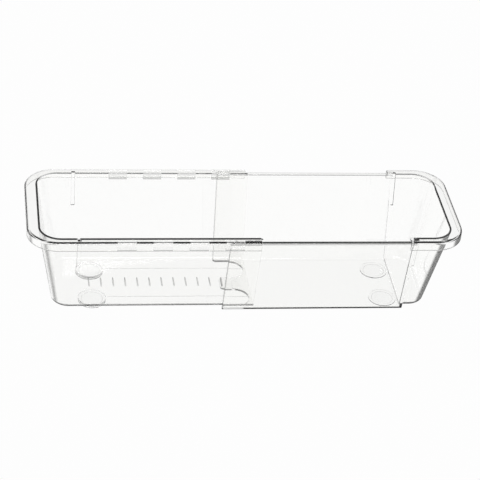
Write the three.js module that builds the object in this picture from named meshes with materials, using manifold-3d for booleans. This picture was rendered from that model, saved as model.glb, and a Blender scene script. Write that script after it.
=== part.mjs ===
// Extending drawer organizer in clear plastic: an inner tray slides in an outer tray, and four clear pads carry them.
// Millimetres. +X runs right along the slide, +Y to the back, +Z up. The origin is on the ground under the middle.
import * as THREE from "three";
import { mergeVertices } from "three/addons/utils/BufferGeometryUtils.js";
import Module from "manifold-3d";

const wasm = await Module();
wasm.setup();

// Whole object, drawn out
const openLength = 350;
const rimWidth = 110;
const height = 80;
const sideDraft = THREE.MathUtils.degToRad(11);
const endDraft = THREE.MathUtils.degToRad(9.5);

// Mouldings
const wall = 1.8;
const floorThickness = 1.8;
const bottomRound = 4;
const sleeveRound = 2.6;
const bottomCorner = 14;

// Channel rim of the inner tray and of the outer tray's end
const rimCorner = 25;
const sideFlange = 7.3;
const endFlange = 10.5;
const flangeThickness = 2;
const skirtDepth = 7.5;
const skirtThickness = 1.8;
const rimRound = 2.5;
const mouthRound = 1;

// Slide
const slidingGap = 0.4;
const floorGap = 0.7;
const travel = 117;
const bodyEnd = 10;
const rimEnd = 8.5;
const sleeveEnd = -15.5;
const stepFace = 132;
const stepThickness = 2;
const endRimStart = 129;

// Sleeve's own flange, which runs in the channel
const runnerWidth = 1.5;
const runnerThickness = 1.6;
const runnerRound = 0.6;

// Snap lips under the windows of the inner tray's flange
const lipLength = 15;
const lipPitch = 28.5;
const lipCount = 4;
const firstLip = -105.2;
const lipReach = 2.3;
const lipThickness = 1.4;

// Stop ribs on the outside of the long walls
const ribCentre = 134.5;
const ribWidth = 3;
const ribDrop = 27;
const ribRoot = 0.6;

// Detent: grooves under the inner tray's floor, and a tongue with a nib in the sleeve's floor
const grooveCount = 12;
const groovePitch = 10;
const firstGroove = -122;
const grooveLength = 13;
const grooveDepth = 0.8;
const tongueSetback = 2;
const tongueThickness = 1.2;
const tongueCorner = 2.5;
const nibLength = 11;
const nibRound = 0.7;
const nibClearance = 0.3;

// Glide ribs under the inner tray's floor, in line with the pads
const glideRound = 0.65;
const glideDrop = 0.4;
const glideStart = 0.8;

// Pads
const padCentreX = 120.5;
const padCentreY = 19.8;
const padRadius = 11.4;
const padRingWidth = 2.6;
const padHollow = 0.4;
const padEdge = 0.35;
const thinPad = 0.9;
const padSeat = 0.3;
const notchGap = 0.5;
const notchDepthGap = 0.6;
const notchCorner = 2.5;

// Levels and offsets that follow from the sizes above
const overrun = 5;
const wallAcross = wall / Math.cos(sideDraft);
const gapAcross = slidingGap / Math.cos(sideDraft);
const sleeveBottom = thinPad + padSeat;
const trayBottom = sleeveBottom + floorThickness + floorGap;
const flangeUnderside = height - flangeThickness;
const skirtBottom = height - skirtDepth;
const sleeveTop = flangeUnderside - slidingGap;
const sideInset = sideFlange - wallAcross;
const endInset = endFlange - wallAcross;
const sleeveOffset = gapAcross + wallAcross;
const skirtInner = rimWidth / 2 - skirtThickness;
const cornerSteps = 10;
const roundSteps = 5;
const padSides = 48;
const barSides = 16;
const notchSteps = 12;

// Half width of the inner tray's outer face at a height
function faceHalf(z) {
  return rimWidth / 2 - sideInset - Math.tan(sideDraft) * (height - z);
}

// Half length of the trays' outer faces at a height
function endHalf(z) {
  return openLength / 2 - endInset - Math.tan(endDraft) * (height - z);
}

// Plan radius of the inner tray's outer face at a height
function faceRadius(z) {
  const topRadius = rimCorner - (sideInset + endInset) / 2;
  const share = (z - trayBottom) / (height - trayBottom);
  return bottomCorner + (topRadius - bottomCorner) * share;
}

// Closed plan outline of the trays' faces at one height, set off outwards and drawn at another
function faceRing(at, offset, z) {
  return planRing(endHalf(at) + offset, faceHalf(at) + offset, faceRadius(at) + offset, z);
}

// The same for the rim
function rimRing(offset, z) {
  return planRing(openLength / 2 + offset, rimWidth / 2 + offset, rimCorner + offset, z);
}

// Closed plan outline with round corners, as points at one height
function planRing(halfLength, halfWidth, radius, z) {
  const x = halfLength - radius;
  const y = halfWidth - radius;
  const shape = new THREE.Shape();
  shape.absarc(x, -y, radius, -Math.PI / 2, 0, false);
  shape.absarc(x, y, radius, 0, Math.PI / 2, false);
  shape.absarc(-x, y, radius, Math.PI / 2, Math.PI, false);
  shape.absarc(-x, -y, radius, Math.PI, Math.PI * 1.5, false);
  return shape.getPoints(cornerSteps).map((p) => new THREE.Vector3(p.x, p.y, z));
}

// Closed solid through rings of equally many points, listed from the bottom up
function loft(rings) {
  const count = rings[0].length;
  const points = rings.flat();
  const low = points.length;
  const middle = (ring) => ring.reduce((sum, p) => sum.add(p), new THREE.Vector3()).divideScalar(count);
  points.push(middle(rings[0]), middle(rings[rings.length - 1]));
  const faces = [];
  for (let i = 0; i < count; i++) {
    const next = (i + 1) % count;
    for (let k = 0; k + 1 < rings.length; k++) {
      const a = k * count + i;
      const b = k * count + next;
      faces.push(a, b, b + count, a, b + count, a + count);
    }
    const top = (rings.length - 1) * count;
    faces.push(next, i, low, top + i, top + next, low + 1);
  }
  return new THREE.BufferGeometry().setFromPoints(points).setIndex(faces);
}

// A closed geometry as a solid that can be joined and cut
function solidOf(geometry) {
  const bare = geometry.clone();
  bare.deleteAttribute("normal");
  bare.deleteAttribute("uv");
  const merged = mergeVertices(bare);
  const vertProperties = merged.attributes.position.array;
  return new wasm.Manifold(new wasm.Mesh({ numProp: 3, vertProperties, triVerts: new Uint32Array(merged.index.array) }));
}

// The named mesh of a finished solid
function meshOf(name, solid, material) {
  const made = solid.getMesh();
  const indexed = new THREE.BufferGeometry();
  indexed.setAttribute("position", new THREE.BufferAttribute(made.vertProperties, made.numProp));
  indexed.setIndex(new THREE.BufferAttribute(made.triVerts, 1));
  const geometry = indexed.toNonIndexed();
  geometry.computeVertexNormals();
  const mesh = new THREE.Mesh(geometry, material);
  mesh.name = name;
  return mesh;
}

// Box between two corners
function block(x0, x1, y0, y1, z0, z1) {
  const box = new THREE.BoxGeometry(x1 - x0, y1 - y0, z1 - z0);
  return solidOf(box.translate((x0 + x1) / 2, (y0 + y1) / 2, (z0 + z1) / 2));
}

// What lies between two X planes, as a block wide and high enough for the whole object
function slab(x0, x1) {
  return block(x0, x1, -rimWidth, rimWidth, -overrun, height + overrun);
}

// Drafted basin with a round bottom edge, from bottom to top, set off from the inner tray's outer face
function basinRings(offset, bottom, top, round) {
  const tangentZ = bottom + round * (1 - Math.sin(sideDraft));
  const inset = offset - round * Math.cos(sideDraft);
  const rings = [];
  for (let i = 0; i <= roundSteps; i++) {
    const angle = ((Math.PI / 2 - sideDraft) * i) / roundSteps;
    const out = inset + round * Math.sin(angle);
    rings.push(faceRing(tangentZ, out, bottom + round * (1 - Math.cos(angle))));
  }
  rings.push(faceRing(top, offset, top));
  return rings;
}

function basin(offset, bottom, top, round) {
  return solidOf(loft(basinRings(offset, bottom, top, round)));
}

// The inner tray's hollow, whose mouth opens with a round
function mouthedHollow() {
  const centreZ = height - mouthRound;
  const tangentZ = centreZ + mouthRound * Math.sin(sideDraft);
  const centreOut = mouthRound * Math.cos(sideDraft) - wallAcross;
  const rings = basinRings(-wallAcross, trayBottom + floorThickness, tangentZ, bottomRound - wall);
  for (let i = 1; i <= roundSteps; i++) {
    const angle = sideDraft + ((Math.PI / 2 - sideDraft) * i) / roundSteps;
    const out = centreOut - mouthRound * Math.cos(angle);
    rings.push(faceRing(tangentZ, out, centreZ + mouthRound * Math.sin(angle)));
  }
  rings.push(faceRing(tangentZ, centreOut, height + overrun));
  return solidOf(loft(rings));
}

// Flange and skirt all round, without the hollow under them
function channelRim() {
  const rings = [rimRing(0, skirtBottom)];
  for (let i = 0; i <= roundSteps; i++) {
    const angle = (Math.PI / 2) * (i / roundSteps);
    rings.push(rimRing(rimRound * (Math.cos(angle) - 1), height + rimRound * (Math.sin(angle) - 1)));
  }
  const channel = [skirtBottom - overrun, flangeUnderside].map((z) => rimRing(-skirtThickness, z));
  return solidOf(loft(rings)).subtract(solidOf(loft(channel)));
}

// A plan outline cut straight through a floor
function floorCut(shape, bottom, top) {
  const geometry = new THREE.ExtrudeGeometry(shape, { depth: top - bottom, bevelEnabled: false, curveSegments: notchSteps });
  return solidOf(geometry.translate(0, 0, bottom));
}

// Rib on the outside of a long wall, up to the flange; side is 1 at the back and -1 at the front
function stopRib(x, side) {
  const ribBottom = flangeUnderside - ribDrop;
  const out = (z) => faceHalf(z) + sleeveOffset;
  const root = (z) => faceHalf(z) - ribRoot;
  const profile = new THREE.Shape();
  profile.moveTo(root(ribBottom), ribBottom);
  profile.lineTo(out(ribBottom), ribBottom);
  profile.lineTo(out(flangeUnderside), flangeUnderside + ribRoot);
  profile.lineTo(root(flangeUnderside), flangeUnderside + ribRoot);
  const rib = new THREE.ExtrudeGeometry(profile, { depth: ribWidth, bevelEnabled: false });
  rib.applyMatrix4(new THREE.Matrix4().makeBasis(
    new THREE.Vector3(0, 1, 0),
    new THREE.Vector3(0, 0, 1),
    new THREE.Vector3(1, 0, 0),
  ));
  rib.translate(x - ribWidth / 2, 0, 0);
  if (side < 0) rib.rotateZ(Math.PI).translate(x + x, 0, 0);
  return solidOf(rib);
}

// Lips at the foot of the skirt, with a window through the flange above each
function snapLips(tray) {
  let result = tray;
  for (let i = 0; i < lipCount; i++) {
    const x = firstLip + i * lipPitch;
    for (const side of [-1, 1]) {
      const inner = side * (skirtInner - lipReach);
      const flush = side * skirtInner;
      const rooted = side * (skirtInner + ribRoot);
      const window = block(x, x + lipLength, Math.min(inner, flush), Math.max(inner, flush),
        flangeUnderside - overrun / 2, height + overrun);
      const lip = block(x, x + lipLength, Math.min(inner, rooted), Math.max(inner, rooted),
        skirtBottom, skirtBottom + lipThickness);
      result = result.subtract(window).add(lip);
    }
  }
  return result;
}

// Half-round bar across the slide, at a place along it
function crossBar(x, z, radius, length) {
  return solidOf(new THREE.CylinderGeometry(radius, radius, length, barSides).translate(x, 0, z));
}

// Low round rib along the slide under the inner tray's floor, from behind the pad to the tray's open end
function glideRib(side) {
  const start = padRadius + glideStart - padCentreX;
  const bar = new THREE.CylinderGeometry(glideRound, glideRound, bodyEnd - start, barSides).rotateZ(Math.PI / 2);
  return solidOf(bar.translate((start + bodyEnd) / 2, side * padCentreY, trayBottom + glideRound - glideDrop));
}

function innerTray() {
  const cup = basin(0, trayBottom, flangeUnderside + flangeThickness / 2, bottomRound);
  const left = -openLength;
  let tray = channelRim().intersect(slab(left, rimEnd)).add(cup.intersect(slab(left, bodyEnd)));
  tray = tray.add(stopRib(-ribCentre, 1)).add(stopRib(-ribCentre, -1)).subtract(mouthedHollow());
  tray = snapLips(tray);
  for (let i = 0; i < grooveCount; i++) {
    tray = tray.subtract(crossBar(firstGroove + i * groovePitch, trayBottom, grooveDepth, grooveLength));
  }
  tray = tray.add(glideRib(1)).add(glideRib(-1));
  return tray;
}

// The narrow flange on top of the sleeve
function runnerRings(top) {
  const out = sleeveOffset + runnerWidth;
  const low = top - runnerThickness;
  return [
    faceRing(sleeveTop, out - runnerRound, low),
    faceRing(sleeveTop, out, low + runnerRound),
    faceRing(sleeveTop, out, top - runnerRound),
    faceRing(sleeveTop, out - runnerRound, top),
  ];
}

// U notch that lets an inner tray's pad in when the trays are pushed together, with a round corner at its mouth
function padNotch(side) {
  const half = padRadius + notchGap;
  const outer = padCentreY + half;
  const inner = padCentreY - half;
  const centreX = travel - padCentreX + notchDepthGap - notchGap;
  const outside = Math.min(sleeveEnd, centreX) - overrun;
  const shape = new THREE.Shape();
  shape.moveTo(outside, inner);
  shape.lineTo(centreX, inner);
  shape.absarc(centreX, padCentreY, half, -Math.PI / 2, Math.PI / 2, false);
  shape.lineTo(sleeveEnd + notchCorner, outer);
  shape.absarc(sleeveEnd + notchCorner, outer + notchCorner, notchCorner, -Math.PI / 2, -Math.PI, true);
  shape.lineTo(outside, outer + notchCorner);
  const cut = floorCut(shape, sleeveBottom - overrun, sleeveBottom + bottomRound);
  return side > 0 ? cut : cut.mirror([0, 1, 0]);
}

// What is cut round the tongue's tip: the setback and its two round corners
function tongueTrim() {
  const half = padCentreY - padRadius - notchGap;
  const tip = sleeveEnd + tongueSetback;
  const shape = new THREE.Shape();
  shape.moveTo(sleeveEnd - overrun, -half - notchGap);
  shape.lineTo(tip + tongueCorner, -half - notchGap);
  shape.lineTo(tip + tongueCorner, -half);
  shape.absarc(tip + tongueCorner, -half + tongueCorner, tongueCorner, -Math.PI / 2, -Math.PI, true);
  shape.lineTo(tip, half - tongueCorner);
  shape.absarc(tip + tongueCorner, half - tongueCorner, tongueCorner, Math.PI, Math.PI / 2, true);
  shape.lineTo(tip + tongueCorner, half + notchGap);
  shape.lineTo(sleeveEnd - overrun, half + notchGap);
  return floorCut(shape, sleeveBottom - overrun, sleeveBottom + bottomRound);
}

// The tongue is thinner than the floor, so that it bends, and ends in a nib
function thinTongue(tray) {
  const half = padCentreY - padRadius - notchGap;
  const tongueTop = sleeveBottom + tongueThickness;
  const root = travel - padCentreX;
  const outside = Math.min(sleeveEnd, root) - overrun;
  const relief = block(outside, root, -half - notchGap, half + notchGap, tongueTop, sleeveBottom + bottomRound);
  const nibX = firstGroove + (grooveCount - 1) * groovePitch;
  const nibZ = trayBottom - nibClearance - nibRound;
  return tray.subtract(relief).add(crossBar(nibX, nibZ, nibRound, nibLength));
}

function outerTray() {
  const right = openLength;
  const joined = flangeUnderside + flangeThickness / 2;
  const low = basin(sleeveOffset, sleeveBottom, sleeveTop, sleeveRound);
  const tall = basin(sleeveOffset, sleeveBottom, joined, sleeveRound);
  const hollow = basin(gapAcross, sleeveBottom + floorThickness, flangeUnderside, sleeveRound - wall);
  const stepEnd = stepFace + stepThickness;
  let tray = low.add(solidOf(loft(runnerRings(sleeveTop)))).intersect(slab(sleeveEnd, stepEnd));
  tray = tray.add(tall.intersect(slab(endRimStart, stepEnd)));
  tray = tray.subtract(hollow.intersect(slab(sleeveEnd - overrun, stepFace)));
  tray = tray.add(channelRim().intersect(slab(endRimStart, right)));
  tray = tray.add(basin(0, trayBottom, joined, bottomRound).intersect(slab(stepFace, right)));
  tray = tray.add(stopRib(ribCentre, 1)).add(stopRib(ribCentre, -1)).subtract(mouthedHollow());
  tray = tray.subtract(padNotch(1)).subtract(padNotch(-1)).subtract(tongueTrim());
  return thinTongue(tray);
}

// Round pad that stands on a ring, from the ground up to its seat
function pad(name, x, y, thickness) {
  const profile = [
    new THREE.Vector2(0, padHollow),
    new THREE.Vector2(padRadius - padRingWidth - padHollow, padHollow),
    new THREE.Vector2(padRadius - padRingWidth, 0),
    new THREE.Vector2(padRadius - padEdge, 0),
    new THREE.Vector2(padRadius, padEdge),
    new THREE.Vector2(padRadius, thickness),
    new THREE.Vector2(0, thickness),
  ];
  const mesh = new THREE.Mesh(new THREE.LatheGeometry(profile, padSides).rotateX(Math.PI / 2), padMaterial);
  mesh.position.set(x, y, 0);
  mesh.name = name;
  return mesh;
}

const clearPlastic = new THREE.MeshStandardMaterial({
  color: 0xf4f8f8,
  roughness: 0.04,
  metalness: 0,
  transparent: true,
  opacity: 0.35,
});
const padMaterial = new THREE.MeshStandardMaterial({
  color: 0xeef1f1,
  roughness: 0.35,
  metalness: 0,
  transparent: true,
  opacity: 0.5,
});

const organizer = new THREE.Group();
organizer.add(meshOf("inner_tray", innerTray(), clearPlastic));
organizer.add(meshOf("outer_tray", outerTray(), clearPlastic));
const tallPad = trayBottom - padSeat;
organizer.add(pad("foot_left_front", -padCentreX, -padCentreY, tallPad));
organizer.add(pad("foot_left_back", -padCentreX, padCentreY, tallPad));
organizer.add(pad("foot_right_front", padCentreX, -padCentreY, thinPad));
organizer.add(pad("foot_right_back", padCentreX, padCentreY, thinPad));

export default organizer;
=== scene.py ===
"""Extending drawer organizer in clear plastic: its pieces, their finish and the stage.

Metres, in the frame's own axes: +X right along the slide, +Y to the back, +Z up.
Shapes are numpy grids of closed plan outlines, stacked in Z and joined or cut as solids.
"""

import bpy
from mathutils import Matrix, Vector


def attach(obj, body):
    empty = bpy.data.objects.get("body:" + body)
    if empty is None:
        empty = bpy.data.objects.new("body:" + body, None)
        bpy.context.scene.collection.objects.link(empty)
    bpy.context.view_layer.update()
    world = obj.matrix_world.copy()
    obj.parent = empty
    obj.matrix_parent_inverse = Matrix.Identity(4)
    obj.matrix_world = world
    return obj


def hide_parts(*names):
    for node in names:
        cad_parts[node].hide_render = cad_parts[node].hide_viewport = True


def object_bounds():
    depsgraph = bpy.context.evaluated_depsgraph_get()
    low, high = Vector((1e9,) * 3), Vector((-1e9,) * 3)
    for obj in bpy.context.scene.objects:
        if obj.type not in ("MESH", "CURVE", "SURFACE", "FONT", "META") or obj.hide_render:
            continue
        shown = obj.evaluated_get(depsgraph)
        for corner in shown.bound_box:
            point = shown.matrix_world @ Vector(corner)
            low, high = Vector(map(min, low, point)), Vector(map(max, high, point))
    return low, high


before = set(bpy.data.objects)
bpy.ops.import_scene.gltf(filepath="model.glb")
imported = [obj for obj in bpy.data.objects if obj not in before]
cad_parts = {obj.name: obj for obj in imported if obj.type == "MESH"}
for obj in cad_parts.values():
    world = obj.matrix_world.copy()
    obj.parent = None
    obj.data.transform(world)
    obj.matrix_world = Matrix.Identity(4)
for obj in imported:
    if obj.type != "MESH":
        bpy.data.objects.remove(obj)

from types import SimpleNamespace

import bpy
import numpy as np
from bpy.props import FloatProperty, FloatVectorProperty, IntProperty, PointerProperty
from bpy.types import Operator, Panel, PropertyGroup
from mathutils import Euler, Matrix, Vector

bl_info = {
    "name": "Extending drawer organizer",
    "version": (1, 0, 0),
    "blender": (4, 5, 0),
    "location": "View3D > Sidebar > Organizer",
    "description": "Two clear trays that slide in each other on round pads, and their stage",
    "category": "Add Mesh",
}

CAD_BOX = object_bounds()
RIGHT_ANGLE = np.pi / 2
OVERRUN = 0.005  # how far a cutting solid reaches past what it cuts
CORNER_STEPS = 22
ROUND_STEPS = 12
BEVEL_STEPS = 4
BAR_SIDES = 24
BAR_TIP = 0.05  # least radius of a bar's end, as a share of its radius
PAD_SIDES = 144
PAD_EDGE_STEPS = 6
PAD_POLE = 0.15  # radius of the flat face that closes a pad's middle, as a share of its radius
FLOOR_SIDES = 128

# Stretches of noise along X, Y and Z, and the values between which masks rise from 0 to 1
FLOW_STRETCH = (1.0, 2.2, 1.6)
CLOUD_STRETCH = (1.0, 1.6, 1.0)
HAIRLINE_STRETCH = (0.25, 5.0, 5.0)
PATCH_BAND = (0.48, 0.72)
HAIRLINE_BAND = (0.62, 0.8)
DUST_BAND = (0.5, 0.75)
DOWN_BAND = (0.2, 0.4)
OUTWARD_BAND = (0.0, 0.005)
FLAT_FADE = 0.04  # how far below `edge_flat` a face begins to count as flat


def length(name, description, default):
    """A size in metres."""
    return FloatProperty(name=name, description=description, default=default, min=0.0,
                         subtype="DISTANCE", unit="LENGTH", precision=5)


def place(name, description, default):
    """A coordinate in metres, which may be negative."""
    return FloatProperty(name=name, description=description, default=default,
                         subtype="DISTANCE", unit="LENGTH", precision=5)


def angle(name, description, degrees):
    """An angle, given in degrees."""
    return FloatProperty(name=name, description=description, default=float(np.radians(degrees)),
                         subtype="ANGLE", unit="ROTATION")


def share(name, description, default):
    """A plain number without a unit."""
    return FloatProperty(name=name, description=description, default=default, min=0.0)


def tint(name, description, default):
    """A colour."""
    return FloatVectorProperty(name=name, description=description, default=default,
                               subtype="COLOR", size=3, min=0.0, max=1.0)


def spot(name, description, default):
    """A point in metres."""
    return FloatVectorProperty(name=name, description=description, default=default,
                               subtype="TRANSLATION", unit="LENGTH", size=3)


def extent(name, description, default):
    """Width and height of a light, in metres."""
    return FloatVectorProperty(name=name, description=description, default=default, min=0.0,
                               unit="LENGTH", size=2)


def wattage(name, description, default):
    """The power of a light, in watts."""
    return FloatProperty(name=name, description=description, default=default, min=0.0,
                         subtype="POWER", unit="POWER")


class TraySizes(PropertyGroup):
    """Outline, walls and rim that both trays share."""

    open_length: length("Open length", "Length over the rims, drawn out", CAD_BOX[1].x - CAD_BOX[0].x)
    rim_width: length("Rim width", "Width over the rim", CAD_BOX[1].y - CAD_BOX[0].y)
    height: length("Height", "From the ground to the top of the rim", CAD_BOX[1].z)
    side_draft: angle("Side draft", "How far the long walls lean out", 11)
    end_draft: angle("End draft", "How far the end walls lean out", 9.5)
    wall: length("Wall", "Thickness of the walls", 0.0018)
    floor_thickness: length("Floor", "Thickness of the floors", 0.0018)
    bottom_round: length("Bottom round", "Outer round between wall and floor", 0.004)
    bottom_corner: length("Bottom corner", "Plan radius of the corners at the floor", 0.014)
    rim_corner: length("Rim corner", "Plan radius of the rim's corners", 0.025)
    side_flange: length("Side flange", "Width of the flange along the long walls", 0.0073)
    end_flange: length("End flange", "Width of the flange along the end walls", 0.0105)
    flange_thickness: length("Flange", "Thickness of the flange", 0.002)
    skirt_depth: length("Skirt depth", "Height of the rim's outer face", 0.008)
    skirt_thickness: length("Skirt", "Thickness of the skirt", 0.0018)
    rim_round: length("Rim round", "Round on the rim's outer top edge", 0.0025)
    mouth_round: length("Mouth round", "Round where the flange turns into the wall", 0.0004)
    edge_round: length("Edge round", "Small round on the free edges", 0.00025)


class SlideSizes(PropertyGroup):
    """Sleeve, runner, lips, ribs, detent and glide ribs."""

    sliding_gap: length("Sliding gap", "Gap between the long walls", 0.0004)
    floor_gap: length("Floor gap", "Gap between the floors", 0.0007)
    travel: length("Travel", "How far the inner tray slides in", 0.117)
    body_end: place("Body end", "Open end of the inner tray's body", 0.010)
    rim_end: place("Rim end", "Open end of the inner tray's rim", 0.0085)
    sleeve_end: place("Sleeve end", "Open end of the sleeve", -0.0155)
    step_face: place("Step face", "Inner face of the step at the sleeve's closed end", 0.132)
    step_thickness: length("Step", "Thickness of the step", 0.002)
    end_rim_start: place("End rim start", "Where the outer tray's channel rim begins", 0.129)
    sleeve_round: length("Sleeve round", "Outer round between the sleeve's wall and floor", 0.0026)
    runner_width: length("Runner width", "How far the sleeve's flange stands out", 0.0015)
    runner_thickness: length("Runner", "Thickness of the sleeve's flange", 0.0016)
    runner_round: length("Runner round", "Round on the sleeve's top edges", 0.0006)
    lip_length: length("Lip length", "Length of a snap lip and its window", 0.015)
    lip_pitch: length("Lip pitch", "From one lip to the next", 0.0285)
    lip_count: IntProperty(name="Lips", description="Snap lips on each side", default=4, min=1)
    first_lip: place("First lip", "Left end of the first lip", -0.1052)
    lip_reach: length("Lip reach", "How far a lip stands in from the skirt", 0.0023)
    lip_thickness: length("Lip", "Thickness of a lip at its tip", 0.0014)
    lip_rise: length("Lip rise", "How far a lip's upper side rises to the skirt", 0.0018)
    rib_centre: length("Rib centre", "Distance of the stop ribs from the middle", 0.1345)
    rib_width: length("Rib width", "Width of a stop rib along the slide", 0.003)
    rib_round: length("Rib round", "Round on the edges of a stop rib", 0.0005)
    rib_drop: length("Rib drop", "How far a stop rib reaches down", 0.027)
    rib_root: length("Root", "How deep ribs and lips sit in the wall", 0.0006)
    groove_count: IntProperty(name="Grooves", description="Detent grooves", default=12, min=1)
    groove_pitch: length("Groove pitch", "From one detent groove to the next", 0.010)
    first_groove: place("First groove", "Place of the first detent groove", -0.122)
    groove_length: length("Groove length", "Length of a detent groove across the slide", 0.013)
    groove_depth: length("Groove depth", "Depth of a detent groove", 0.0005)
    tongue_setback: length("Tongue setback", "How far the tongue's tip stays behind the sleeve's end", 0.002)
    tongue_thickness: length("Tongue", "Thickness of the tongue", 0.0012)
    tongue_corner: length("Tongue corner", "Round at the tongue's tip", 0.0025)
    nib_length: length("Nib length", "Length of the nib across the slide", 0.011)
    nib_round: length("Nib round", "Radius of the nib", 0.0007)
    nib_clearance: length("Nib clearance", "Gap over the nib", 0.0003)
    glide_round: length("Glide round", "Radius of the glide ribs", 0.00065)
    glide_drop: length("Glide drop", "How far the glide ribs stand down", 0.0004)
    glide_start: length("Glide start", "Gap between pad and glide rib", 0.0008)


class PadSizes(PropertyGroup):
    """Round pads, and the notches that take them in."""

    centre_x: length("Centre X", "Distance of the pads from the middle along the slide", 0.1205)
    centre_y: length("Centre Y", "Distance of the pads from the middle across it", 0.0198)
    radius: length("Radius", "Radius of a pad", 0.0114)
    ring_width: length("Ring width", "Width of the ring that a pad stands on", 0.0026)
    hollow: length("Hollow", "Depth of the pad's hollow middle", 0.0004)
    edge: length("Edge", "Round on the pad's edges", 0.00035)
    thin: length("Thin pad", "Thickness of the pads under the outer tray", 0.0009)
    seat: length("Seat", "Gap between pad and floor", 0.0003)
    notch_gap: length("Notch gap", "Gap between pad and notch at the sides", 0.0005)
    notch_depth_gap: length("Notch depth gap", "Gap between pad and notch at the end", 0.0006)
    notch_corner: length("Notch corner", "Round at the notch's mouth", 0.0025)


class FinishValues(PropertyGroup):
    """Colours and surface of the clear plastic and of the pads, and the painted edge shade on the plastic."""

    plastic_light: tint("Plastic, clear", "Tint of the plastic where it is clearest", (0.998, 0.998, 0.992))
    plastic_deep: tint("Plastic, deeper", "Tint of the plastic where it flowed last", (0.988, 0.989, 0.981))
    # Painted shade: the dark grey below is mixed into the plastic where rounds turn away from the view. The
    # values down to edge_flat set how much painted shade each tray gets, where it begins, is full, is lifted
    # from the outermost line and is gone, and how much sooner bottom rounds get it.
    painted_edge_shade: tint("Edge grey", "Grey that rounds gather where they turn away", (0.08, 0.08, 0.078))
    inner_depth: share("Inner tray's edges", "How much of that grey the inner tray gathers", 0.6)
    outer_depth: share("Outer tray's edges", "How much of that grey the outer tray gathers", 0.8)
    inner_gloss: share("Inner tray's outline", "How much its outermost line mirrors the room instead", 1.0)
    outer_gloss: share("Outer tray's outline", "How much its outermost line mirrors the room instead", 0.0)
    edge_start: share("Edge start", "How far a round turns away where its depth begins", 0.46)
    edge_full: share("Edge full", "How far a round turns away where its depth is full", 0.6)
    edge_lost: share("Edge lost", "How far a round turns away where it starts to mirror the room", 0.54)
    edge_gone: share("Edge gone", "How far a round turns away where it mirrors the room alone", 0.74)
    edge_below: share("Edge below", "How much sooner the rounds at the bottom gather it", 0.32)
    edge_flat: share("Edge flat", "How squarely a face looks along an axis to count as flat", 0.97)
    # Painted shade: a thin dark line drawn along each tray's open end, with its width and strength for each
    # tray.
    cut_width: length("Cut width", "Width of the grey edge at a tray's open end", 0.0008)
    inner_cut: share("Inner tray's end", "How much of the grey the inner tray's open end gathers", 0.0)
    outer_cut: share("Outer tray's end", "How much of the grey the outer tray's open end gathers", 0.15)
    plastic_index: share("Plastic index", "Refractive index of the plastic", 1.53)
    cloud_scale: share("Cloud scale", "Clouds in the plastic's tint to the metre", 14.0)
    plastic_roughness: share("Plastic roughness", "Roughness of the polished faces", 0.006)
    handling_roughness: share("Handling", "Roughness that handling adds in patches", 0.014)
    patch_scale: share("Patch scale", "Handled patches to the metre", 48.0)
    hairline_scale: share("Hairline scale", "Hairlines to the metre, before they are drawn out", 260.0)
    hairline_part: share("Hairline part", "How much of the handling is hairlines", 0.3)
    flow_depth: length("Flow depth", "Height of the long waves that moulding leaves", 0.00002)
    flow_scale: share("Flow scale", "Those waves to the metre", 22.0)
    pad_light: tint("Pad, clear", "Tint of the pads", (0.998, 0.998, 0.998))
    pad_deep: tint("Pad, deeper", "Tint of the pads in patches", (0.99, 0.992, 0.992))
    pad_index: share("Pad index", "Refractive index of the pads; low, for a pad bonded without a gap", 1.4)
    pad_cloud_scale: share("Pad cloud scale", "Clouds in the pads' tint to the metre", 90.0)
    pad_roughness: share("Pad roughness", "Roughness of the pads", 0.02)
    dust_scale: share("Dust scale", "Dusty patches on the pads to the metre", 320.0)
    pad_grain: length("Pad grain", "Height of the pads' fine grain", 0.000004)
    grain_scale: share("Grain scale", "Grains to the metre", 1400.0)


class StageValues(PropertyGroup):
    """Floor, light and camera."""

    floor_radius: length("Floor radius", "Radius of the floor", 3.0)
    floor_depth: length("Floor depth", "Thickness of the floor", 0.02)
    floor_clearance: length("Floor clearance", "Gap between the floor and what stands on it", 0.0002)
    bright_radius: length("Bright radius", "How far from the middle the floor is white", 0.72)
    fade_radius: length("Fade radius", "Where the floor has faded to the surround", 1.35)
    floor_glow: share("Floor glow", "Brightness of the white floor", 0.985)
    surround: share("Surround", "Brightness of floor and room beyond it", 0.12)
    ceiling: share("Ceiling", "Brightness of the room above", 0.6)
    dim_height: share("Dim height", "Sine of the height up to which the room is dim", 0.25)
    light_height: share("Light height", "Sine of the height from which the room is light", 0.5)
    top_place: spot("Top light's place", "Middle of the light above, on the camera's side", (-0.2, -1.3, 1.5))
    top_size: extent("Top light's size", "Width and height of that light", (1.3, 0.7))
    top_power: wattage("Top light's power", "Power of that light", 14.0)
    side_place: spot("Side light's place", "Middle of the light on the left", (-1.5, -0.2, 1.0))
    side_size: extent("Side light's size", "Width and height of that light", (0.5, 0.9))
    side_power: wattage("Side light's power", "Power of that light", 3.0)
    camera_place: spot("Camera", "Place of the camera", (-0.22860, -1.27210, 0.90978))
    camera_pitch: angle("Camera pitch", "How far the camera looks down", 33.77)
    camera_yaw: angle("Camera yaw", "How far the camera looks to the right", 10.20)
    camera_roll: angle("Camera roll", "How far the camera is turned about its axis", 5.60)
    focal_length: FloatProperty(name="Focal length", description="Focal length in millimetres",
                                default=142.5, min=1.0, subtype="DISTANCE_CAMERA", unit="CAMERA")
    sensor_width: FloatProperty(name="Sensor width", description="Sensor width in millimetres",
                                default=36.0, min=1.0, subtype="DISTANCE_CAMERA", unit="CAMERA")
    view_depth: length("View depth", "How far the camera sees", 50.0)


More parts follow.
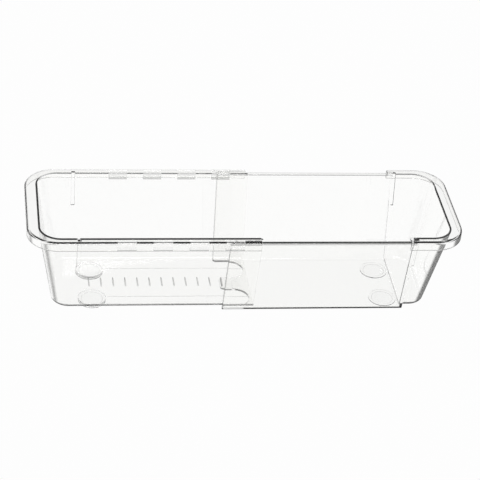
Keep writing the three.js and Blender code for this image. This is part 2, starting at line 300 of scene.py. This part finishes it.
def measures(scene):
    """All sizes in one place, with the levels and offsets that follow from them."""
    m = SimpleNamespace()
    groups = (("", scene.organizer_tray), ("", scene.organizer_slide), ("pad_", scene.organizer_pad))
    for word, group in groups:
        for name in group.__annotations__:
            setattr(m, word + name, getattr(group, name))
    m.wall_across = m.wall / np.cos(m.side_draft)
    m.gap_across = m.sliding_gap / np.cos(m.side_draft)
    m.sleeve_offset = m.gap_across + m.wall_across
    m.sleeve_bottom = m.pad_thin + m.pad_seat
    m.tray_bottom = m.sleeve_bottom + m.floor_thickness + m.floor_gap
    m.underside = m.height - m.flange_thickness
    m.skirt_bottom = m.height - m.skirt_depth
    m.sleeve_top = m.underside - m.sliding_gap
    m.side_inset = m.side_flange - m.wall_across
    m.end_inset = m.end_flange - m.wall_across
    m.skirt_inner = m.rim_width / 2 - m.skirt_thickness
    m.joined = m.underside + m.flange_thickness / 2
    m.notch_half = m.pad_radius + m.pad_notch_gap
    m.tongue_half = m.pad_centre_y - m.notch_half
    m.notch_centre = m.travel - m.pad_centre_x + m.pad_notch_depth_gap - m.pad_notch_gap
    return m


# Solids from grids


def plan_outlines(half_length, half_width, radius, z):
    """Stack of rectangles with round corners, as a grid of points.

    For ring k and turn t: x = sx (half_length - radius) + radius cos t, y the same with the
    width and sin t, where sx and sy are the signs of the corner that t belongs to.
    """
    quarter = np.linspace(0, RIGHT_ANGLE, CORNER_STEPS + 1)
    turn = (quarter + RIGHT_ANGLE * np.arange(4)[:, None]).ravel()
    sign_x = np.repeat([1, -1, -1, 1], CORNER_STEPS + 1)
    sign_y = np.repeat([1, 1, -1, -1], CORNER_STEPS + 1)
    half_length, half_width, radius, z = (
        np.asarray(v, float)[:, None] for v in np.broadcast_arrays(half_length, half_width, radius, z))
    x = sign_x * (half_length - radius) + radius * np.cos(turn)
    y = sign_y * (half_width - radius) + radius * np.sin(turn)
    return np.stack([x, y, np.broadcast_to(z, x.shape)], axis=-1)


def face_half(m, z):
    """Half width of the inner tray's outer face: it shrinks by tan(draft) for each step down."""
    return m.rim_width / 2 - m.side_inset - np.tan(m.side_draft) * (m.height - z)


def face_rings(m, at, offset, z):
    """Outlines of the trays' faces at heights `at`, set off outwards and placed at heights z."""
    at, offset, z = np.broadcast_arrays(np.asarray(at, float), offset, z)
    top_radius = m.rim_corner - (m.side_inset + m.end_inset) / 2
    rise = (at - m.tray_bottom) / (m.height - m.tray_bottom)
    radius = m.bottom_corner + (top_radius - m.bottom_corner) * rise
    half_length = m.open_length / 2 - m.end_inset - np.tan(m.end_draft) * (m.height - at)
    return plan_outlines(half_length + offset, face_half(m, at) + offset, radius + offset, z)


def rim_rings(m, offset, z):
    """Outlines of the rim's outer face, set off outwards and placed at heights z."""
    offset, z = np.broadcast_arrays(np.asarray(offset, float), z)
    return plan_outlines(m.open_length / 2 + offset, m.rim_width / 2 + offset, m.rim_corner + offset, z)


def basin_rings(m, offset, bottom, top, curve):
    """Drafted basin, bottom up. Its bottom round is an arc: offset r sin a - r cos(draft), height
    r (1 - cos a), with a from 0 to a right angle less the draft; one more ring stands at the top."""
    a = np.linspace(0, RIGHT_ANGLE - m.side_draft, ROUND_STEPS + 1)
    tangent = bottom + curve * (1 - np.sin(m.side_draft))
    out = offset - curve * np.cos(m.side_draft) + curve * np.sin(a)
    return face_rings(m, np.append(np.full(a.size, tangent), top), np.append(out, offset),
                      np.append(bottom + curve * (1 - np.cos(a)), top))


def mouthed_rings(m, offset, bottom, top, curve, mouth):
    """Basin whose mouth opens with a round of radius `mouth` at the level `top`: offset grows by
    mouth (cos(draft) - cos a), height by mouth sin a, with a from the draft to a right angle."""
    tangent = top - mouth * (1 - np.sin(m.side_draft))
    a = np.linspace(m.side_draft, RIGHT_ANGLE, ROUND_STEPS + 1)[1:]
    centre = offset + mouth * np.cos(m.side_draft)
    flare = face_rings(m, tangent, np.append(centre - mouth * np.cos(a), centre),
                       np.append(top - mouth + mouth * np.sin(a), m.height + OVERRUN))
    return np.concatenate([basin_rings(m, offset, bottom, tangent, curve), flare])


def solid(name, rings):
    """Object from a grid of rings, each counter-clockwise about the way from first to last ring.

    Quad (k, i) joins points i and i + 1 of rings k and k + 1; the end rings are closed by a face.
    """
    count, around = rings.shape[:2]
    index = np.arange(count * around).reshape(count, around)
    after = np.roll(index, -1, axis=1)
    quads = np.stack([index[:-1], after[:-1], after[1:], index[1:]], axis=-1).reshape(-1, 4)
    mesh = bpy.data.meshes.new(name)
    mesh.from_pydata(rings.reshape(-1, 3).tolist(), [],
                     quads.tolist() + [index[0, ::-1].tolist(), index[-1].tolist()])
    piece = bpy.data.objects.new(name, mesh)
    bpy.context.collection.objects.link(piece)
    return piece


def prism(name, loop, start, end, axis):
    """A closed loop of points, pushed along an axis from start to end. The loop is given in the
    two axes that follow `axis` in the order XYZ, counter-clockwise."""
    loop = np.asarray(loop, float)
    rings = np.empty((2, len(loop), 3))
    rings[..., axis] = np.array([[start], [end]])
    rings[..., (axis + 1) % 3] = loop[:, 0]
    rings[..., (axis + 2) % 3] = loop[:, 1]
    return solid(name, rings)


def block(low, high):
    """Box between two corners."""
    (x0, y0, z0), (x1, y1, z1) = np.sort([low, high], axis=0)
    return prism("block", [(x0, y0), (x1, y0), (x1, y1), (x0, y1)], z0, z1, 2)


def slab(m, x0, x1):
    """What lies between two X planes."""
    return block((x0, -m.rim_width, -OVERRUN), (x1, m.rim_width, m.height + OVERRUN))


def bar(centre, radius, span, axis, ends=40.0):
    """Round bar about a centre, along an axis. Its radius falls off to the ends as the square root
    of 1 - |s| ** ends, with s from -1 to 1 along it; a low `ends` gives a spindle."""
    s = np.sin(np.linspace(-RIGHT_ANGLE, RIGHT_ANGLE, 2 * ROUND_STEPS + 1))
    girth = radius * np.sqrt(np.maximum(1 - np.abs(s) ** ends, BAR_TIP ** 2))[:, None]
    turn = np.linspace(0, 2 * np.pi, BAR_SIDES, endpoint=False)
    rings = np.empty((s.size, BAR_SIDES, 3))
    rings[..., axis] = centre[axis] + (span / 2 * s)[:, None]
    rings[..., (axis + 1) % 3] = centre[(axis + 1) % 3] + girth * np.cos(turn)
    rings[..., (axis + 2) % 3] = centre[(axis + 2) % 3] + girth * np.sin(turn)
    return solid("bar", rings)


def settled(piece):
    """Turns a piece's modifiers into its mesh."""
    made = bpy.data.meshes.new_from_object(piece.evaluated_get(bpy.context.evaluated_depsgraph_get()))
    piece.modifiers.clear()
    old, piece.data = piece.data, made
    bpy.data.meshes.remove(old)
    return piece


def combined(piece, tools, operation):
    """Applies one boolean operation to a piece with each tool in turn, and removes the tools."""
    for tool in tools:
        step = piece.modifiers.new(operation, "BOOLEAN")
        step.operation = operation
        step.solver = "MANIFOLD"
        step.object = tool
    settled(piece)
    for tool in tools:
        bpy.data.meshes.remove(tool.data)
    return piece


def join(piece, *tools):
    """The piece and the tools as one solid."""
    return combined(piece, tools, "UNION")


def cut(piece, *tools):
    """The piece without the tools."""
    return combined(piece, tools, "DIFFERENCE")


def keep(piece, *tools):
    """What the piece has in common with every tool."""
    return combined(piece, tools, "INTERSECT")


def softened(piece, width):
    """Rounds all edges of a plain solid."""
    bevel = piece.modifiers.new("round", "BEVEL")
    bevel.width = width
    bevel.segments = BEVEL_STEPS
    bevel.limit_method = "ANGLE"
    return settled(piece)


def finished(piece, name, body, node, material, sharp=30.0):
    """Names a piece, shades it smooth but for edges sharper than `sharp` degrees, gives it its
    finish, ties it to its body, and hides the node that it replaces."""
    piece.name = piece.data.name = name
    piece.data.shade_smooth()
    piece.data.set_sharp_from_angle(angle=float(np.radians(sharp)))
    even = piece.modifiers.new("even", "WEIGHTED_NORMAL")
    even.keep_sharp = True
    even.weight = 100
    settled(piece)
    piece.data.name = name
    piece.data.materials.clear()
    piece.data.materials.append(material)
    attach(piece, body)
    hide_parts(node)
    return piece


# Parts of the trays


def channel_rim(m):
    """Flange and skirt all round. The outer face has a small round below, r (cos a - 1) out and
    r (1 - sin a) up, and the rim round above; the channel under it has a round mouth and corner."""
    a = np.linspace(0, RIGHT_ANGLE, ROUND_STEPS + 1)
    e, r = m.edge_round, m.rim_round
    outer = rim_rings(
        m, np.concatenate([e * (np.sin(a) - 1), r * (np.cos(a) - 1)]),
        np.concatenate([m.skirt_bottom + e * (1 - np.cos(a)), m.height + r * (np.sin(a) - 1)]))
    channel = rim_rings(
        m, np.concatenate([[e - m.skirt_thickness], e * (1 - np.sin(a)) - m.skirt_thickness,
                           e * (np.cos(a) - 1) - m.skirt_thickness]),
        np.concatenate([[m.skirt_bottom - OVERRUN], m.skirt_bottom + e * (1 - np.cos(a)),
                        m.underside + e * (np.sin(a) - 1)]))
    return cut(solid("rim", outer), solid("channel", channel))


def tray_hollow(m):
    """Hollow of the inner tray, which the outer tray's closed end shares."""
    return solid("hollow", mouthed_rings(m, -m.wall_across, m.tray_bottom + m.floor_thickness, m.height,
                                         m.bottom_round - m.wall, m.mouth_round))


def stop_rib(m, x, side):
    """Rib on the outside of a long wall, up to the flange; side is 1 at the back, -1 in front."""
    low, high = m.underside - m.rib_drop, m.underside
    out = [face_half(m, z) + m.sleeve_offset for z in (low, high)]
    root = [face_half(m, z) - m.rib_root for z in (low, high)]
    top = high + m.rib_root
    loop = np.array([(root[0], low), (out[0], low), (out[1], top), (root[1], top)])
    if side < 0:
        loop = loop[::-1] * (-1, 1)
    return softened(prism("rib", loop, x - m.rib_width / 2, x + m.rib_width / 2, 0), m.rib_round)


def lips_and_windows(m):
    """Wedge-shaped lips at the foot of the skirt, and a window through the flange above each."""
    lips, windows = [], []
    tip, rooted = m.skirt_inner - m.lip_reach, m.skirt_inner + m.rib_root
    low, high = m.skirt_bottom, m.skirt_bottom + m.lip_thickness
    top = high + m.lip_rise
    loop = np.array([(tip, low), (rooted, low), (rooted, top), (m.skirt_inner, top), (tip, high)])
    for x in m.first_lip + m.lip_pitch * np.arange(m.lip_count):
        for side in (-1, 1):
            windows.append(block((x, side * tip, m.underside - OVERRUN / 2),
                                 (x + m.lip_length, side * m.skirt_inner, m.height + OVERRUN)))
            lips.append(prism("lip", loop[::side] * (side, 1), x, x + m.lip_length, 0))
    return lips, windows


def inner_tray(m):
    """The inner tray's moulding."""
    left = -m.open_length
    tray = keep(channel_rim(m), slab(m, left, m.rim_end))
    cup = keep(solid("cup", basin_rings(m, 0.0, m.tray_bottom, m.joined, m.bottom_round)),
               slab(m, left, m.body_end))
    join(tray, cup, stop_rib(m, -m.rib_centre, 1), stop_rib(m, -m.rib_centre, -1))
    cut(tray, tray_hollow(m))
    lips, windows = lips_and_windows(m)
    cut(tray, *windows)
    join(tray, *lips)
    places = m.first_groove + m.groove_pitch * np.arange(m.groove_count)
    cut(tray, *[bar((x, 0.0, m.tray_bottom), m.groove_depth, m.groove_length, 1, ends=6.0) for x in places])
    start = m.pad_radius + m.glide_start - m.pad_centre_x
    middle, level = (start + m.body_end) / 2, m.tray_bottom + m.glide_round - m.glide_drop
    return join(tray, *[bar((middle, side * m.pad_centre_y, level), m.glide_round, m.body_end - start, 0)
                        for side in (1, -1)])


def runner_rings(m):
    """Narrow flange on top of the sleeve, with rounded outer edges."""
    a = np.linspace(0, RIGHT_ANGLE, ROUND_STEPS // 2 + 1)
    out, r = m.sleeve_offset + m.runner_width, m.runner_round
    offset = np.concatenate([out - r + r * np.sin(a), out - r + r * np.cos(a)])
    z = np.concatenate([m.sleeve_top - m.runner_thickness + r * (1 - np.cos(a)),
                        m.sleeve_top - r + r * np.sin(a)])
    return face_rings(m, m.sleeve_top, offset, z)


def arc(centre, radius, start, end, steps=2 * ROUND_STEPS):
    """Points on an arc: centre + radius (cos t, sin t), with t from start to end in quarter turns."""
    t = np.linspace(start, end, steps + 1) * RIGHT_ANGLE
    return np.stack([centre[0] + radius * np.cos(t), centre[1] + radius * np.sin(t)], axis=-1)


def pad_notch(m, side):
    """U notch in the sleeve's floor that lets a pad of the inner tray in."""
    corner, beyond = m.pad_notch_corner, min(m.sleeve_end, m.notch_centre) - OVERRUN
    outer, inner = m.pad_centre_y + m.notch_half, m.pad_centre_y - m.notch_half
    loop = np.concatenate([
        [(beyond, inner)], arc((m.notch_centre, m.pad_centre_y), m.notch_half, -1, 1),
        arc((m.sleeve_end + corner, outer + corner), corner, 3, 2), [(beyond, outer + corner)]])
    if side < 0:
        loop = loop[::-1] * (1, -1)
    return prism("notch", loop, m.sleeve_bottom - OVERRUN, m.sleeve_bottom + m.bottom_round, 2)


def tongue_trim(m):
    """What is cut round the tongue's tip: its setback and two round corners."""
    tip, half, r = m.sleeve_end + m.tongue_setback, m.tongue_half, m.tongue_corner
    beyond, over = m.sleeve_end - OVERRUN, m.tongue_half + m.pad_notch_gap
    loop = np.concatenate([
        [(beyond, -over), (tip + r, -over)], arc((tip + r, r - half), r, 3, 2, ROUND_STEPS),
        arc((tip + r, half - r), r, 2, 1, ROUND_STEPS), [(tip + r, over), (beyond, over)]])
    return prism("trim", loop, m.sleeve_bottom - OVERRUN, m.sleeve_bottom + m.bottom_round, 2)


def outer_tray(m):
    """The outer tray's moulding: open sleeve, step and closed end."""
    right, step_end = m.open_length, m.step_face + m.step_thickness
    bottom = m.sleeve_bottom
    tray = solid("sleeve", basin_rings(m, m.sleeve_offset, bottom, m.sleeve_top, m.sleeve_round))
    join(tray, solid("runner", runner_rings(m)))
    keep(tray, slab(m, m.sleeve_end, step_end))
    tall = solid("tall", basin_rings(m, m.sleeve_offset, bottom, m.joined, m.sleeve_round))
    join(tray, keep(tall, slab(m, m.end_rim_start, step_end)))
    hollow = solid("sleeve hollow", mouthed_rings(m, m.gap_across, bottom + m.floor_thickness, m.sleeve_top,
                                                  m.sleeve_round - m.wall, m.runner_round))
    cut(tray, keep(hollow, slab(m, m.sleeve_end - OVERRUN, m.step_face)))
    end = solid("end", basin_rings(m, 0.0, m.tray_bottom, m.joined, m.bottom_round))
    join(tray, keep(channel_rim(m), slab(m, m.end_rim_start, right)), keep(end, slab(m, m.step_face, right)),
         stop_rib(m, m.rib_centre, 1), stop_rib(m, m.rib_centre, -1))
    cut(tray, tray_hollow(m), pad_notch(m, 1), pad_notch(m, -1), tongue_trim(m))
    wide = m.tongue_half + m.pad_notch_gap
    root = m.travel - m.pad_centre_x
    cut(tray, block((min(m.sleeve_end, root) - OVERRUN, -wide, bottom + m.tongue_thickness),
                    (root, wide, bottom + m.bottom_round)))
    nib_x = m.first_groove + (m.groove_count - 1) * m.groove_pitch
    return join(tray, bar((nib_x, 0.0, m.tray_bottom - m.nib_clearance - m.nib_round), m.nib_round,
                          m.nib_length, 1, ends=8.0))


def pad(m, x, y, thickness):
    """Round pad on a ring. Its section (r, z) goes from the hollow's middle out over the ring and
    its round edges up to the seat, and each point of it is turned about the pad's axis."""
    a = np.linspace(0, RIGHT_ANGLE, PAD_EDGE_STEPS + 1)
    e, r, inner = m.pad_edge, m.pad_radius, m.pad_radius - m.pad_ring_width
    section = np.concatenate([
        [(PAD_POLE * r, m.pad_hollow)],
        np.stack([inner - m.pad_hollow * (1 - np.sin(a)), m.pad_hollow * np.cos(a)], -1),
        np.stack([r - e + e * np.sin(a), e * (1 - np.cos(a))], -1),
        np.stack([r - e + e * np.cos(a), thickness - e + e * np.sin(a)], -1),
        [(PAD_POLE * r, thickness)]])
    turn = np.linspace(0, 2 * np.pi, PAD_SIDES, endpoint=False)
    radius, height = section[:, :1], section[:, 1:]
    rings = np.stack([x + radius * np.cos(turn), y + radius * np.sin(turn),
                      np.broadcast_to(height, (len(section), PAD_SIDES))], axis=-1)
    return solid("pad", rings)


# Materials


class Value:
    """A shader socket in an expression: each operator adds its Math node."""

    def __init__(self, shader, socket):
        self.shader, self.socket = shader, socket

    def _with(self, operation, first, second):
        return self.shader.node("ShaderNodeMath", {"operation": operation}, {0: first, 1: second})[0]

    def __add__(self, other):
        return self._with("ADD", self, other)

    def __mul__(self, other):
        return self._with("MULTIPLY", self, other)

    def __sub__(self, other):
        return self._with("SUBTRACT", self, other)

    def __rsub__(self, other):
        return self._with("SUBTRACT", other, self)

    def __abs__(self):
        return self.shader.node("ShaderNodeMath", {"operation": "ABSOLUTE"}, {0: self})[0]

    __radd__ = __add__
    __rmul__ = __mul__


class Shader:
    """The nodes of one material or world."""

    def __init__(self, owner):
        owner.use_nodes = True
        self.tree = owner.node_tree
        self.tree.nodes.clear()

    def node(self, kind, settings=None, inputs=None):
        """Adds a node: its settings first, then the values or links of its sockets. Gives its
        outputs as values, by place or by name."""
        made = self.tree.nodes.new(kind)
        for key, value in (settings or {}).items():
            setattr(made, key, value)
        for key, value in (inputs or {}).items():
            if isinstance(value, Value):
                self.tree.links.new(value.socket, made.inputs[key])
            else:
                made.inputs[key].default_value = value
        outputs = [Value(self, socket) for socket in made.outputs]
        return dict(enumerate(outputs)) | {o.socket.name: o for o in outputs}

    def place(self, stretch=(1.0, 1.0, 1.0)):
        """Object coordinates in metres, stretched."""
        where = self.node("ShaderNodeTexCoord")["Object"]
        return self.node("ShaderNodeMapping", None, {"Vector": where, "Scale": stretch})["Vector"]

    def either(self, first, second):
        """The larger of two values."""
        return self.node("ShaderNodeMath", {"operation": "MAXIMUM"}, {0: first, 1: second})[0]

    def rounds(self, flat):
        """Two masks: 1 on outward rounds and corners but 0 where the surface faces along an axis by
        `flat` or more, and 1 where it faces down."""
        where = self.node("ShaderNodeTexCoord")
        normal = where["Normal"]
        out = self.node("ShaderNodeVectorMath", {"operation": "DOT_PRODUCT"},
                        {0: normal, 1: where["Object"]})["Value"]
        faced = self.node("ShaderNodeVectorMath", {"operation": "ABSOLUTE"}, {0: normal})["Vector"]
        axes = self.node("ShaderNodeSeparateXYZ", None, {0: faced})
        most = self.either(self.either(axes["X"], axes["Y"]), axes["Z"])
        down = 0.0 - self.node("ShaderNodeSeparateXYZ", None, {0: normal})["Z"]
        curved = (1.0 - self.band(most, flat - FLAT_FADE, flat)) * self.band(out, *OUTWARD_BAND)
        return curved, self.band(down, *DOWN_BAND)

    def noise(self, scale, detail, stretch=(1.0, 1.0, 1.0)):
        """Noise from 0 to 1 on the object's coordinates; scale is in features to the metre."""
        return self.node("ShaderNodeTexNoise", None, {
            "Vector": self.place(stretch), "Scale": scale, "Detail": detail})["Fac"]

    def band(self, value, low, high):
        """0 below low, 1 above high, smooth between."""
        return self.node("ShaderNodeMapRange", {"interpolation_type": "SMOOTHSTEP"},
                         {"Value": value, "From Min": low, "From Max": high})["Result"]

    def bump(self, height, depth):
        """Normal of a surface whose height varies by `depth` metres."""
        return self.node("ShaderNodeBump", None, {
            "Height": height, "Distance": depth, "Strength": 1.0})["Normal"]

    def mixed(self, factor, first, second):
        """A colour between two."""
        return self.node("ShaderNodeMix", {"data_type": "RGBA"},
                         {0: factor, 6: (*first, 1.0), 7: (*second, 1.0)})[2]


def clear_plastic(f, tray, end):
    """Polished clear plastic: long low waves that follow the flow from the ends, faint clouds in
    the tint, and patches and hairlines that handling has left in the gloss. Painted shade: a dark
    grey diffuse is mixed in on rounds where they turn away from the view, in place of the dark lines
    that thick clear walls show when seen along their length, and as a thin painted dark line along
    the open end at X = `end`. The painted shade may be left off the outermost line of a round, which
    then mirrors the room. How much of each, the values of the `tray` say."""
    # depth sets how much painted edge shade the tray gets, gloss how much of it is lifted from the outermost
    # line, and cut the painted dark line at the open end.
    depth, gloss, painted_cut_shade = (getattr(f, f"{tray}_{word}") for word in ("depth", "gloss", "cut"))
    material = bpy.data.materials.new(f"polished_{tray}_tray")
    s = Shader(material)
    flow = s.noise(f.flow_scale, detail=1.5, stretch=FLOW_STRETCH)
    clouds = s.noise(f.cloud_scale, detail=3.0, stretch=CLOUD_STRETCH)
    patches = s.band(s.noise(f.patch_scale, detail=4.0), *PATCH_BAND)
    hairlines = s.band(s.noise(f.hairline_scale, detail=2.0, stretch=HAIRLINE_STRETCH), *HAIRLINE_BAND)
    handled = patches * (1 - f.hairline_part) + hairlines * f.hairline_part
    bump = s.bump(flow, f.flow_depth)
    # Painted shade: rounds that turn away from the view by the Layer Weight facing, and bottom rounds sooner,
    # get the dark grey mixed in; the gloss value lifts it from the outermost line.
    facing = s.node("ShaderNodeLayerWeight", None, {"Blend": 0.5})["Facing"]
    rounds, below = s.rounds(f.edge_flat)
    turned = s.band(facing + below * f.edge_below, f.edge_start, f.edge_full) * rounds
    turned = turned * (1.0 - s.band(facing, f.edge_lost, f.edge_gone) * gloss)
    # Painted shade: a thin dark line along the open end at X = end, as strong as the tray's cut value.
    along = s.node("ShaderNodeSeparateXYZ", None, {0: s.place()})["X"]
    edge = (1.0 - s.band(abs(along - end), f.cut_width / 2, f.cut_width)) * painted_cut_shade
    clear = s.node("ShaderNodeBsdfPrincipled", None, {
        "Base Color": s.mixed(clouds, f.plastic_light, f.plastic_deep),
        "Roughness": handled * f.handling_roughness + f.plastic_roughness,
        "IOR": f.plastic_index, "Transmission Weight": 1.0, "Normal": bump})[0]
    # Painted shade: a dark grey diffuse, mixed in on turned-away rounds and along the open end.
    grey = s.node("ShaderNodeBsdfDiffuse", None, {"Color": (*f.painted_edge_shade, 1.0)})[0]
    surface = s.node("ShaderNodeMixShader", None, {0: s.either(turned * depth, edge), 1: clear, 2: grey})[0]
    s.node("ShaderNodeOutputMaterial", None, {"Surface": surface})
    return material


def clear_pad(f):
    """Soft clear pad: fine grain, faint clouds and a satin gloss that dust has dulled in patches."""
    material = bpy.data.materials.new("soft_pad")
    s = Shader(material)
    clouds = s.noise(f.pad_cloud_scale, detail=3.0)
    dust = s.band(s.noise(f.dust_scale, detail=4.0), *DUST_BAND)
    bump = s.bump(s.noise(f.grain_scale, detail=3.0), f.pad_grain)
    surface = s.node("ShaderNodeBsdfPrincipled", None, {
        "Base Color": s.mixed(clouds, f.pad_light, f.pad_deep),
        "Roughness": dust * f.handling_roughness + f.pad_roughness,
        "IOR": f.pad_index, "Transmission Weight": 1.0, "Normal": bump})[0]
    s.node("ShaderNodeOutputMaterial", None, {"Surface": surface})
    return material


# Operators


class ORGANIZER_OT_inner_tray(Operator):
    """Builds the tray that slides, with its channel rim, windows, lips, ribs and detent grooves"""

    bl_idname = "organizer.inner_tray"
    bl_label = "Inner tray"

    def execute(self, context):
        m, finish = measures(context.scene), context.scene.organizer_finish
        material = clear_plastic(finish, "inner", m.body_end)
        finished(inner_tray(m), "inner_tray_moulding", "inner_tray", "inner_tray",
                 material)
        return {"FINISHED"}


class ORGANIZER_OT_outer_tray(Operator):
    """Builds the outer tray: open sleeve, step, closed end, notches and detent tongue"""

    bl_idname = "organizer.outer_tray"
    bl_label = "Outer tray"

    def execute(self, context):
        m, finish = measures(context.scene), context.scene.organizer_finish
        material = clear_plastic(finish, "outer", m.sleeve_end)
        finished(outer_tray(m), "outer_tray_moulding", "outer_tray", "outer_tray",
                 material)
        return {"FINISHED"}


class ORGANIZER_OT_pads(Operator):
    """Builds the four round pads under the trays"""

    bl_idname = "organizer.pads"
    bl_label = "Pads"

    def execute(self, context):
        m = measures(context.scene)
        material = clear_pad(context.scene.organizer_finish)
        tall = m.tray_bottom - m.pad_seat
        for end, body, thickness in ((-1, "inner_tray", tall), (1, "outer_tray", m.pad_thin)):
            for side in (-1, 1):
                words = ("left" if end < 0 else "right") + "_" + ("front" if side < 0 else "back")
                piece = pad(m, end * m.pad_centre_x, side * m.pad_centre_y, thickness)
                finished(piece, "pad_" + words, body, "foot_" + words, material, sharp=50.0)
        return {"FINISHED"}


class ORGANIZER_OT_stage(Operator):
    """Sets up the white floor, the soft light and the camera"""

    bl_idname = "organizer.stage"
    bl_label = "Stage"

    def execute(self, context):
        v = context.scene.organizer_stage
        self.floor(v)
        self.room(context.scene, v)
        self.softbox("top_light", v.top_place, v.top_size, v.top_power)
        self.softbox("left_light", v.side_place, v.side_size, v.side_power)
        self.camera(context.scene, v)
        context.scene.view_settings.view_transform = "Standard"
        return {"FINISHED"}

    def floor(self, v):
        """Round floor, white about the middle and faded beyond it, by its distance."""
        turn = np.linspace(0, 2 * np.pi, FLOOR_SIDES, endpoint=False)
        circle = np.stack([v.floor_radius * np.cos(turn), v.floor_radius * np.sin(turn)], -1)
        floor = prism("floor", circle, -v.floor_depth, -v.floor_clearance, 2)
        material = bpy.data.materials.new("floor")
        s = Shader(material)
        distance = s.node("ShaderNodeVectorMath", {"operation": "LENGTH"}, {0: s.place()})["Value"]
        fade = s.band(distance, v.bright_radius, v.fade_radius)
        glow = (1.0 - fade) * (v.floor_glow - v.surround) + v.surround
        light = s.node("ShaderNodeEmission", None, {"Color": glow})[0]
        s.node("ShaderNodeOutputMaterial", None, {"Surface": light})
        floor.data.materials.append(material)

    def room(self, scene, v):
        """Room that is dim at the height of the object and light above it."""
        scene.world = bpy.data.worlds.new("room")
        s = Shader(scene.world)
        height = s.node("ShaderNodeSeparateXYZ", None, {0: s.node("ShaderNodeTexCoord")["Generated"]})["Z"]
        glow = s.band(height, v.dim_height, v.light_height) * (v.ceiling - v.surround) + v.surround
        light = s.node("ShaderNodeBackground", None, {"Color": glow})[0]
        s.node("ShaderNodeOutputWorld", None, {"Surface": light})

    def softbox(self, name, where, size, power):
        """Soft rectangular light that faces the middle of the floor."""
        light = bpy.data.lights.new(name, "AREA")
        light.shape = "RECTANGLE"
        light.size, light.size_y = size
        light.energy = power
        holder = bpy.data.objects.new(name, light)
        holder.location = where
        holder.rotation_euler = (-Vector(where)).to_track_quat("-Z", "Y").to_euler()
        bpy.context.collection.objects.link(holder)

    def camera(self, scene, v):
        """Camera that looks down by its pitch, right by its yaw, and is rolled about its axis."""
        camera = bpy.data.cameras.new("camera")
        camera.sensor_width = v.sensor_width
        camera.lens = v.focal_length
        camera.clip_end = v.view_depth
        holder = bpy.data.objects.new("camera", camera)
        turn = Euler((float(RIGHT_ANGLE) - v.camera_pitch, 0.0, -v.camera_yaw)).to_matrix()
        turn = turn @ Matrix.Rotation(v.camera_roll, 3, "Z")
        holder.matrix_world = Matrix.Translation(v.camera_place) @ turn.to_4x4()
        bpy.context.collection.objects.link(holder)
        scene.camera = holder


class ORGANIZER_PT_sidebar(Panel):
    """Lists the pieces and the stage in the 3D view's sidebar"""

    bl_idname = "ORGANIZER_PT_sidebar"
    bl_label = "Drawer organizer"
    bl_space_type = "VIEW_3D"
    bl_region_type = "UI"
    bl_category = "Organizer"

    def draw(self, context):
        for operator in OPERATORS:
            self.layout.operator(operator.bl_idname)
        for name in POINTERS:
            box = self.layout.box()
            group = getattr(context.scene, name)
            for key in group.__annotations__:
                box.prop(group, key)


OPERATORS = (ORGANIZER_OT_inner_tray, ORGANIZER_OT_outer_tray, ORGANIZER_OT_pads, ORGANIZER_OT_stage)
POINTERS = {
    "organizer_tray": TraySizes,
    "organizer_slide": SlideSizes,
    "organizer_pad": PadSizes,
    "organizer_finish": FinishValues,
    "organizer_stage": StageValues,
}


def register():
    """Adds the values, operators and panel to Blender."""
    for made in (*POINTERS.values(), *OPERATORS, ORGANIZER_PT_sidebar):
        bpy.utils.register_class(made)
    for name, group in POINTERS.items():
        setattr(bpy.types.Scene, name, PointerProperty(type=group))


def unregister():
    """Takes them out again."""
    for name in POINTERS:
        delattr(bpy.types.Scene, name)
    for made in (ORGANIZER_PT_sidebar, *reversed(OPERATORS), *reversed(POINTERS.values())):
        bpy.utils.unregister_class(made)


def main():
    """Builds every piece and the stage."""
    register()
    bpy.ops.organizer.inner_tray()
    bpy.ops.organizer.outer_tray()
    bpy.ops.organizer.pads()
    bpy.ops.organizer.stage()


if __name__ == "__main__":
    main()
